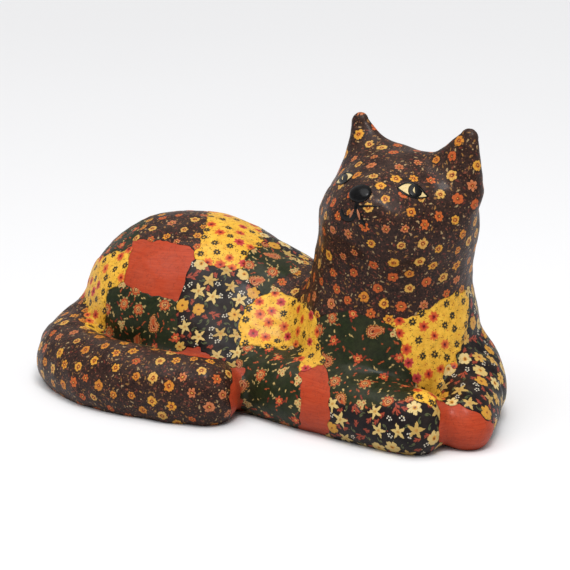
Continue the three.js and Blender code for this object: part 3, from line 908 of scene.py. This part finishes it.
def black_print(shader):
    cloth = Print(shader, rgb(6, 3, 5), rgb(25, 17, 19))
    small, big = Spot(shader, "small", STEADY_PRINT), Spot(shader, "large")
    cream, gold, coral, leaf = rgb(206, 176, 108), rgb(200, 144, 50), rgb(160, 66, 44), rgb(88, 94, 58)
    cloth.speckle(3.0, 0.3, [cream, leaf, coral], 0.35)
    kind = small.chance
    curl = small.arc(3.6, 0.2, 0.45).higher(small.moved(0.9, 0.9).leaf(0.9, 0.36))
    cloth.lay(curl, leaf, kind.below(0.42))
    ring = ((1.1, 0.2), (-1.0, 0.6), (0.0, -0.9), (0.1, 1.2), (1.2, -1.0))
    cloth.lay(dots(small, ring, 0.44), rgb(206, 196, 174), within(kind, 0.42, 0.62), 0.12)
    cloth.lay(twig(small, 2.1), coral, kind.above(0.62))
    kind = big.chance
    cloth.lay(twig(big, 3.8), coral, kind.above(0.88))
    size = kind.shuffled(41) * 0.9 + 3.6
    open_flower = kind.below(0.5)
    bloom = big.petals(6, size, 0.55).higher(only(big.petals(5, size, 0.55, 0.4), kind.below(0.3)))
    tints = [cream, gold, rgb(214, 188, 126), rgb(204, 160, 76)]
    cloth.lay(bloom, shader.pick(kind * 2.0, tints), open_flower)
    cloth.discs(big, [(1.25, rgb(204, 140, 46), 0.4), (0.6, rgb(104, 54, 24))], open_flower)
    star = within(kind, 0.5, 0.88)
    cloth.lay(big.star(5, size + 0.8, 0.36), shader.pick(kind.shuffled(5), [cream, rgb(184, 150, 82)]), star)
    cloth.discs(big, [(0.8, rgb(180, 132, 62), 0.4)], star)
    return cloth.colour


def orange_plain(shader):
    streak, squeeze = shader.node("TexNoise", Scale=1, Detail=4), shader.node("VectorMath")
    squeeze.operation = "MULTIPLY"
    squeeze.inputs[1].default_value = (0.1, 0.1, 1.5)
    shader.link(shader.place(), squeeze.inputs[0])
    shader.link(squeeze.outputs[0], streak.inputs["Vector"])
    threads = shader.number(streak.outputs["Fac"]).between(0.3, 0.7)
    colour = shader.mix(threads, rgb(162, 54, 27), rgb(180, 67, 36))
    worn = shader.noise(1.3, 5.0, 0.8).between(0.56, 0.8)
    return shader.mix(worn * 0.4, colour, rgb(196, 96, 62))


# ---- finishes ----
THREAD = 0.62  # distance between two threads of calico, mm
# The dark of grime, cut edges and cracks, also used as painted shade in creases and near the floor; and a
# light milky varnish colour, also used as painted sheen on faces that point up.
GRIME_AND_SHADE, HAZE_AND_SHEEN = rgb(24, 14, 10), rgb(130, 112, 98)
COATED_SPECULAR = 0.1  # a coated surface's own reflection
SHADE_AND_GRIME_HEIGHT = 16.0  # how high the painted shade and grime from the ground reach, mm
CRACK_SHARE = 0.012  # of the noise's swing, on either side of its middle, that is a crack


def clear_coat(shader, weight, roughness):
    shader.set("Coat Weight", weight)
    shader.set("Coat Roughness", roughness)
    shader.set("Specular IOR Level", COATED_SPECULAR)


def weave(shader):
    """A plain weave on a curved surface: three flat weaves, blended by the way the surface faces."""
    facing = [abs(n) ** 4.0 for n in shader.split(shader.facing())]
    waves_along = [(axis * (2 * math.pi / THREAD)).op("SINE") for axis in shader.split(shader.place())]
    height = None
    for i in range(3):
        flat = waves_along[(i + 1) % 3] * waves_along[(i + 2) % 3] * facing[i]
        height = flat if height is None else height + flat
    return height / (facing[0] + facing[1] + facing[2])


def varnish_cloth(shader, colour):
    """Old varnish over cloth: grime and painted shade in creases and low down, dark cut edges, a hazy milky
    film with painted sheen on faces that point up, and wear.
    """
    crease, rim = shader.value_of("crease"), shader.value_of("rim")
    low = shader.split(shader.place())[2].between(SHADE_AND_GRIME_HEIGHT, 0.0)
    blotch = shader.noise(24.0, 3.0)
    # Painted shade, with grime: darker in creases and towards the floor.
    shade_and_grime = (crease.between(0.12, 0.9) * 0.72 + low * low * 0.5) * (blotch + 0.5) + (blotch - 0.5) * 0.25
    colour = shader.mix(shade_and_grime.between(0.0, 1.25), colour, GRIME_AND_SHADE)
    cut = rim.between(0.75, 0.05) * shader.noise(3.0).between(0.3, 0.6)
    colour = shader.mix(cut * 0.55, colour, GRIME_AND_SHADE)
    # Painted sheen: the milky varnish colour is stronger on faces that point up, where the light from above
    # falls.
    upward_sheen = shader.split(shader.facing())[2].between(0.0, 0.95)
    haze_and_sheen = shader.noise(15.0, 4.0, 0.6).between(0.38, 0.8) * (upward_sheen * 0.12 + 0.04)
    colour = shader.mix(haze_and_sheen, colour, HAZE_AND_SHEEN)
    crack = abs(shader.noise(7.0, 4.0, 0.6) - 0.5).between(CRACK_SHARE, 0.0)
    colour = shader.mix(crack * 0.35, colour, GRIME_AND_SHADE)
    shader.set("Base Color", colour)
    fine = shader.noise(1.1, 3.0, 0.7)
    shader.set("Roughness", fine * 0.16 + shader.noise(9.0) * 0.22 + 0.3)
    clear_coat(shader, weight=0.13, roughness=0.2)
    ripple = shader.noise(5.0, 2.0)
    height = weave(shader) * 0.05 + fine * 0.22 + ripple * 0.5 - crack * 0.12
    shader.bump(height, strength=0.75, distance_mm=0.6)
    return shader.material


def cloth_materials():
    prints = {"brown": brown_print, "yellow": yellow_print, "green": green_print, "black": black_print,
              "orange": orange_plain}
    materials = {}
    for cloth, draw in prints.items():
        shader = Shader(f"{cloth}_cloth")
        materials[cloth] = varnish_cloth(shader, draw(shader))
    return materials


def papier_mache():
    shader = Shader("papier_mache")
    layers = shader.noise(14.0, 5.0, 0.6)
    colour = shader.mix(layers.between(0.35, 0.65), rgb(150, 128, 98), rgb(186, 166, 134))
    colour = shader.mix(shader.noise(1.5, 3.0).between(0.6, 0.75), colour, rgb(112, 92, 68))
    shader.set("Base Color", colour)
    shader.set("Roughness", shader.noise(4.0) * 0.15 + 0.78)
    shader.bump(layers + shader.noise(1.2, 3.0) * 0.3, strength=0.7, distance_mm=0.8)
    return shader.material


def card():
    shader = Shader("card")
    scuffed = shader.noise(20.0, 5.0, 0.7)
    colour = shader.mix(scuffed.between(0.35, 0.7), rgb(96, 70, 48), rgb(134, 104, 74))
    fibres = shader.noise(0.9, 2.0).between(0.55, 0.7) * 0.5
    shader.set("Base Color", shader.mix(fibres, colour, rgb(70, 50, 34)))
    shader.set("Roughness", scuffed * 0.2 + 0.7)
    shader.bump(shader.noise(0.8, 3.0) + scuffed * 0.4, strength=0.5, distance_mm=0.3)
    return shader.material


def paint(name, dark, light, roughness):
    """Gloss paint put on with a small brush."""
    shader = Shader(name)
    strokes = shader.noise(1.4, 3.0, 0.6)
    shader.set("Base Color", shader.mix(strokes.between(0.35, 0.7), dark, light))
    shader.set("Roughness", strokes * 0.15 + roughness)
    clear_coat(shader, weight=0.16, roughness=0.16)
    shader.bump(strokes, strength=0.5, distance_mm=0.25)
    return shader.material


# ---- the patches ----
CLOTH_THICK, RANK_LIFT = 0.5, 0.13  # a patch's outside, mm above the form, and more for each rank
CLOTH_INSIDE = 0.05
EDGE_DROP, EDGE_WIDTH = 0.2, 0.9  # how much, and over what width, a cut edge is pressed down, mm


def place_piece(piece, slot, *nodes):
    """Puts a piece on the one body and hides the CAD nodes that it stands for; slot is not used."""
    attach(piece, "root")
    if nodes:
        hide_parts(*nodes)
    return piece


def cut_out(surface, patch):
    """The part of the surface that a patch covers: its faces, and the points' values, rim last."""
    level = np.minimum(patch.level, surface.points[:, 2] - CLOTH_FOOT)
    faces, _, *values = clip(
        surface.faces, level, surface.points, surface.normals, surface.crease, patch.level)
    faces = faces[largest_island(faces, len(values[0]))]
    used, faces = np.unique(faces, return_inverse=True)
    return faces.reshape(-1, 3), *(value[used] for value in values)


def make_patch(surface, patch, material):
    faces, points, normals, crease, rim = cut_out(surface, patch)
    pressed = EDGE_DROP * (1 - np.clip(rim / EDGE_WIDTH, 0, 1)) ** 2
    outer = CLOTH_THICK + RANK_LIFT * patch.style["rank"] - pressed
    skin, skin_faces = thicken(faces, points, normals, outer, CLOTH_INSIDE)
    piece = make_mesh("cloth" + patch.name.removeprefix("patch"), skin, skin_faces, material)
    add_numbers(piece, "crease", np.tile(crease, 2))
    add_numbers(piece, "rim", np.tile(rim, 2))
    if patch.large:
        both = np.tile(points, (2, 1)), np.tile(normals, (2, 1))
        add_numbers(piece, "large", patch.large.corner_values(skin_faces, *both), "CORNER")
        add_numbers(piece, "small", patch.small.corner_values(skin_faces, *both), "CORNER")
    place_piece(piece, f"cloth_{patch.cloth}", patch.name)


# ---- the papier-mache shell and the board ----
SHELLS = ["shell_near_half", "shell_far_half"]
SHELL_CELL = 4.0  # size of the hidden shell's facets, mm
SHELL_OUTSIDE, SHELL_INSIDE = -0.5, -2.3
CREASE_SINK = 1.3  # how much deeper the coarse shell lies at the bottom of a crease, mm
SHELL_FOOT = 2.8  # the shell stands on the board, mm


def make_shell(material):
    surface = Surface(SHELL_CELL)
    for name, side in zip(SHELLS, (-1, 1)):
        past_line = side * (surface.points[:, 1] - MOULD_LINE_Y) - HALF_GAP / 2
        level = np.minimum(past_line, surface.points[:, 2] - SHELL_FOOT)
        faces, _, points, normals, crease = clip(
            surface.faces, level, surface.points, surface.normals, surface.crease)
        outside = SHELL_OUTSIDE - CREASE_SINK * crease
        skin, skin_faces = thicken(faces, points, normals, outside, SHELL_INSIDE)
        piece = make_mesh("papier_mache" + name.removeprefix("shell"), skin, skin_faces, material)
        place_piece(piece, "papier_mache", name)


# ---- the painted face ----
FACE_LEVEL = CLOTH_THICK + RANK_LIFT * CLOTHS["brown"]["rank"]
FACE_NEAR, FACE_STEPS = 75.0, 50  # a mark is dropped on to the face from so far out, in so many steps
STEP_SHARE = 0.9  # of the distance to the surface that one step goes
# The eyes were painted by hand and don't match. Each has a centre across and up the face, a tilt, a width,
# heights of its two lids, how far their crowns lean, and a pupil with a centre, tilt and radii of its own.
EYES = {
    "left": dict(centre=(-21.2, 6.5), tilt=math.radians(24), width=14.4, lids=(4.6, 3.1), lean=-0.6,
                 pupil=(-22.3, 6.7), pupil_tilt=math.radians(-9), radii=(5.6, 2.6), glint=(-1.3, 1.1)),
    "right": dict(centre=(21.2, 5.5), tilt=math.radians(-9), width=12.8, lids=(4.1, 2.3), lean=-0.8,
                  pupil=(21.9, 6.5), pupil_tilt=math.radians(-51), radii=(4.2, 2.45), glint=(-0.9, 1.6)),
}
GLINT_BEND, GLINT_HALF_WIDTH = (-0.4, -0.1), 0.34  # of a pupil's light stroke; the bend across and up
LINE_LIFT, IRIS_DOME, GLINT_LIFT = 0.2, 0.3, 0.5  # how high paint lies on the paint before it, mm
LINER, LINER_REACH = 0.5, 1.04  # half width of the line round an eye, and its length in eye widths
PAINT_THICK, PAINT_EDGE, PAINT_UNDER = 0.22, 0.03, 0.25  # in its middle, at its rim, and into the cloth
THINNEST_STROKE = 0.03
DOME_SHAPE, END_FALL = 0.6, 0.8  # powers: how full a stroke is across, and how it thins with its width


def on_face(across, up):
    """Points on the cat's uneven surface in front of places on the face."""
    spots = np.stack([across, up, np.full_like(across, FACE_NEAR)], -1)
    for _ in range(FACE_STEPS):
        p = from_face(spots)
        spots[..., 2] -= STEP_SHARE * (form(p) - dents(p))
    p = from_face(spots)
    return p, slope(form, p, 1.0)


def strip_faces(rows, columns):
    """Triangles over rows of points."""
    index = np.arange(rows * columns).reshape(rows, columns)
    a, b, c, d = index[:-1, :-1], index[:-1, 1:], index[1:, 1:], index[1:, :-1]
    return np.concatenate([np.stack([a, d, c], -1).reshape(-1, 3), np.stack([a, c, b], -1).reshape(-1, 3)])


def facing_out(faces, points, normals):
    """The triangles, turned over if they face into the surface."""
    a, b, c = (points[faces[:, i]] for i in range(3))
    turned = (np.cross(b - a, c - a) * normals[faces[:, 0]]).sum() < 0
    return faces[:, ::-1] if turned else faces


def stroke(name, spine, half_width, enamel, lift=0.0, dome=PAINT_THICK, columns=7, nodes=(), lean=0.0):
    """Paint of a given half width along a line on the face, thickest in its middle: a closed thin solid."""
    spine = np.array(spine, float)
    run = np.gradient(spine, axis=0)
    side = (np.stack([-run[:, 1], run[:, 0]], -1) + lean * run) / length(run)[:, None]
    reach = np.linspace(-1, 1, columns)
    width = np.maximum(half_width, THINNEST_STROKE)
    grid = spine[:, None] + side[:, None] * (reach[None, :] * width[:, None])[..., None]
    points, normals = (value.reshape(-1, 3) for value in on_face(grid[..., 0], grid[..., 1]))
    rise = dome * (1 - reach[None, :] ** 2) ** DOME_SHAPE * (width / width.max())[:, None] ** END_FALL
    faces = facing_out(strip_faces(len(spine), columns), points, normals)
    base = FACE_LEVEL + lift
    skin, skin_faces = thicken(faces, points, normals, base + PAINT_EDGE + rise.ravel(), base - PAINT_UNDER)
    material, slot = enamel
    place_piece(make_mesh(name, skin, skin_faces, material), slot, *nodes)


def turned_about(centre, tilt, along, up):
    """Places on the face, from places along and up a mark that has a centre and a tilt."""
    turn = np.array(((math.cos(tilt), math.sin(tilt)), (-math.sin(tilt), math.cos(tilt))))
    return np.stack([along, up], -1) @ turn + centre


def lid_line(eye, t, lid, stretch=1.0):
    """Places along a lid of a given height, from one corner of the eye to the other."""
    along = t * eye["width"] / 2 * stretch + eye["lean"] * lid * (1 - t * t)
    return turned_about(eye["centre"], eye["tilt"], along, lid * (1 - t * t))


def make_eye(word, black, cream):
    eye, t = EYES[word], np.linspace(-1, 1, 33)
    upper, lower = eye["lids"]
    wide, high = eye["radii"]
    bulge = 1 - t * t
    whites = [f"eye_{word}_white_inner", f"eye_{word}_white_outer"]
    middle = lid_line(eye, t, (upper - lower) / 2)
    stroke(f"eye_{word}_white", middle, (upper + lower) / 2 * bulge, cream, nodes=whites, lean=eye["lean"])
    middle = turned_about(eye["pupil"], eye["pupil_tilt"], t * wide, 0 * t)
    stroke(f"eye_{word}_iris", middle, high * np.sqrt(bulge), black,
           lift=LINE_LIFT, dome=IRIS_DOME, nodes=[f"eye_{word}_pupil"])
    glint = np.array(eye["pupil"]) + t[:, None] * eye["glint"] + bulge[:, None] * GLINT_BEND
    stroke(f"eye_{word}_glint", glint, GLINT_HALF_WIDTH * bulge, cream, lift=GLINT_LIFT)
    for part, lid in (("upper", upper), ("lower", -lower)):
        line = lid_line(eye, t, lid, LINER_REACH)
        stroke(f"eye_{word}_{part}_line", line, LINER * (1 - 0.5 * t * t), black, lift=LINE_LIFT)


LINE_POINTS = np.linspace(0, 1, 21)  # along a stroke of the mouth


def curve(points):
    """A smooth line through three or four places on the face."""
    points = np.array(points, float)
    knots = np.linspace(0, 1, len(points))
    fits = (np.polyfit(knots, points[:, i], len(points) - 1) for i in range(2))
    return np.stack([np.polyval(fit, LINE_POINTS) for fit in fits], -1)


# Places across and up the face, half width, and for a black stroke the share of it left at its end.
MOUTH_STROKES = {
    "mouth_line": ([(0.2, -3.5), (0.3, -6.5), (0, -9.5)], 1.0, 1.0),
    "mouth_left": ([(0, -9), (-4, -13.2), (-8.6, -12.8), (-9.8, -8.6)], 2.0, 0.85),
    "mouth_right": ([(0.3, -8), (3.6, -11.6), (6.8, -16)], 1.7, 0.5),
    "mouth_corner": ([(1.5, -6.2), (7.6, -4.9), (13, -4.4)], 0.7, 0.35),
}
LIP_STROKES = {
    "lip_left": ([(-0.6, -7.8), (-2.2, -10.2), (-3.4, -12.6)], 0.85),
    "lip_right": ([(1.6, -7.6), (2.6, -10.0), (3.6, -12.6)], 0.75),
}
MOUTH_LIFT, LIP_LIFT = 0.1, 0.25
NOSE_ACROSS, NOSE_UP, NOSE_SAG = -0.4, 0.7, 0.9
NOSE_HALF_WIDTH, NOSE_HALF_HEIGHT, NOSE_DOME = 6.7, 4.9, 2.3


def make_nose(black):
    t = np.linspace(-1, 1, 29)
    spine = np.stack([t * NOSE_HALF_WIDTH + NOSE_ACROSS, NOSE_UP - NOSE_SAG * np.abs(t)], -1)
    half_height = NOSE_HALF_HEIGHT * np.sqrt(1 - t * t)
    stroke("nose_tip", spine, half_height, black, dome=NOSE_DOME, columns=15, nodes=["nose"])


def make_mouth(black, peach):
    s = LINE_POINTS
    round_end = np.minimum(1, 6 * (1.02 - s)) ** 0.5
    full_middle = np.sin(math.pi * (0.08 + 0.84 * s))
    for name, (points, half_width, taper) in MOUTH_STROKES.items():
        width = half_width * (1 - (1 - taper) * s) * round_end
        stands_for = ["mouth"] if name == "mouth_left" else []
        stroke(name, curve(points), width, black, lift=MOUTH_LIFT, nodes=stands_for)
    for name, (points, half_width) in LIP_STROKES.items():
        stroke(name, curve(points), half_width * full_middle, peach, lift=LIP_LIFT)


def make_face():
    black = paint("black_paint", rgb(3, 3, 4), rgb(11, 11, 12), 0.24), "black_paint"
    cream = paint("cream_paint", rgb(198, 174, 118), rgb(224, 202, 150), 0.35), "cream_paint"
    peach = paint("peach_paint", rgb(150, 84, 56), rgb(196, 130, 92), 0.4), "cream_paint"
    for word in EYES:
        make_eye(word, black, cream)
    make_nose(black)
    make_mouth(black, peach)


# ---- floor and lights ----
FLOOR_SIDE, FLOOR_MOTTLE = 12000.0, 900.0
FLOOR_DARK, FLOOR_LIGHT, FLOOR_ROUGHNESS = (0.79, 0.79, 0.8), (0.82, 0.82, 0.83), 0.7
WORLD_STRENGTH = 0.45
SUN_FROM, SUN_STRENGTH, SUN_WIDTH = (0.0, -0.25, 1.0), 2.0, math.radians(60)
SOFTBOX_PLACE, SOFTBOX_WIDTH, SOFTBOX_POWER = (0.4, -0.45, 1.2), 0.4, 6


def make_floor():
    shader = Shader("floor")
    shader.set("Base Color", shader.mix(shader.noise(FLOOR_MOTTLE), FLOOR_DARK, FLOOR_LIGHT))
    shader.set("Roughness", FLOOR_ROUGHNESS)
    half = FLOOR_SIDE / 2
    corners = [(-half, -half, 0), (half, -half, 0), (half, half, 0), (-half, half, 0)]
    make_mesh("floor", corners, [(0, 1, 2, 3)], shader.material)


def add_lamp(name, kind, comes_from, energy):
    data = bpy.data.lights.new(name, kind)
    data.energy = energy
    lamp = bpy.data.objects.new(name, data)
    lamp.rotation_euler = comes_from.to_track_quat("Z", "Y").to_euler()
    bpy.context.collection.objects.link(lamp)
    return lamp


def make_lights():
    sun = add_lamp("key", "SUN", Vector(SUN_FROM), SUN_STRENGTH)
    sun.data.angle = SUN_WIDTH
    softbox = add_lamp("softbox", "AREA", Vector(SOFTBOX_PLACE) - CAMERA_TARGET, SOFTBOX_POWER)
    softbox.data.shape, softbox.data.size = "DISK", SOFTBOX_WIDTH
    softbox.location = SOFTBOX_PLACE


def make_world():
    world = bpy.data.worlds.new("studio")
    world.use_nodes = True
    background = world.node_tree.nodes["Background"]
    background.inputs["Color"].default_value = (1, 1, 1, 1)
    background.inputs["Strength"].default_value = WORLD_STRENGTH
    bpy.context.scene.world = world
    bpy.context.scene.view_settings.view_transform = "Standard"


# ---- making it ----
def make_cat():
    surface = Surface(CELL)
    materials = cloth_materials()
    for patch in lay_out_patches(surface):
        make_patch(surface, patch, materials[patch.cloth])
    make_shell(papier_mache())
    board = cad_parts["base_board"]
    board.data.materials.clear()
    board.data.materials.append(card())
    make_face()


make_cat()
make_floor()
make_world()
make_lights()
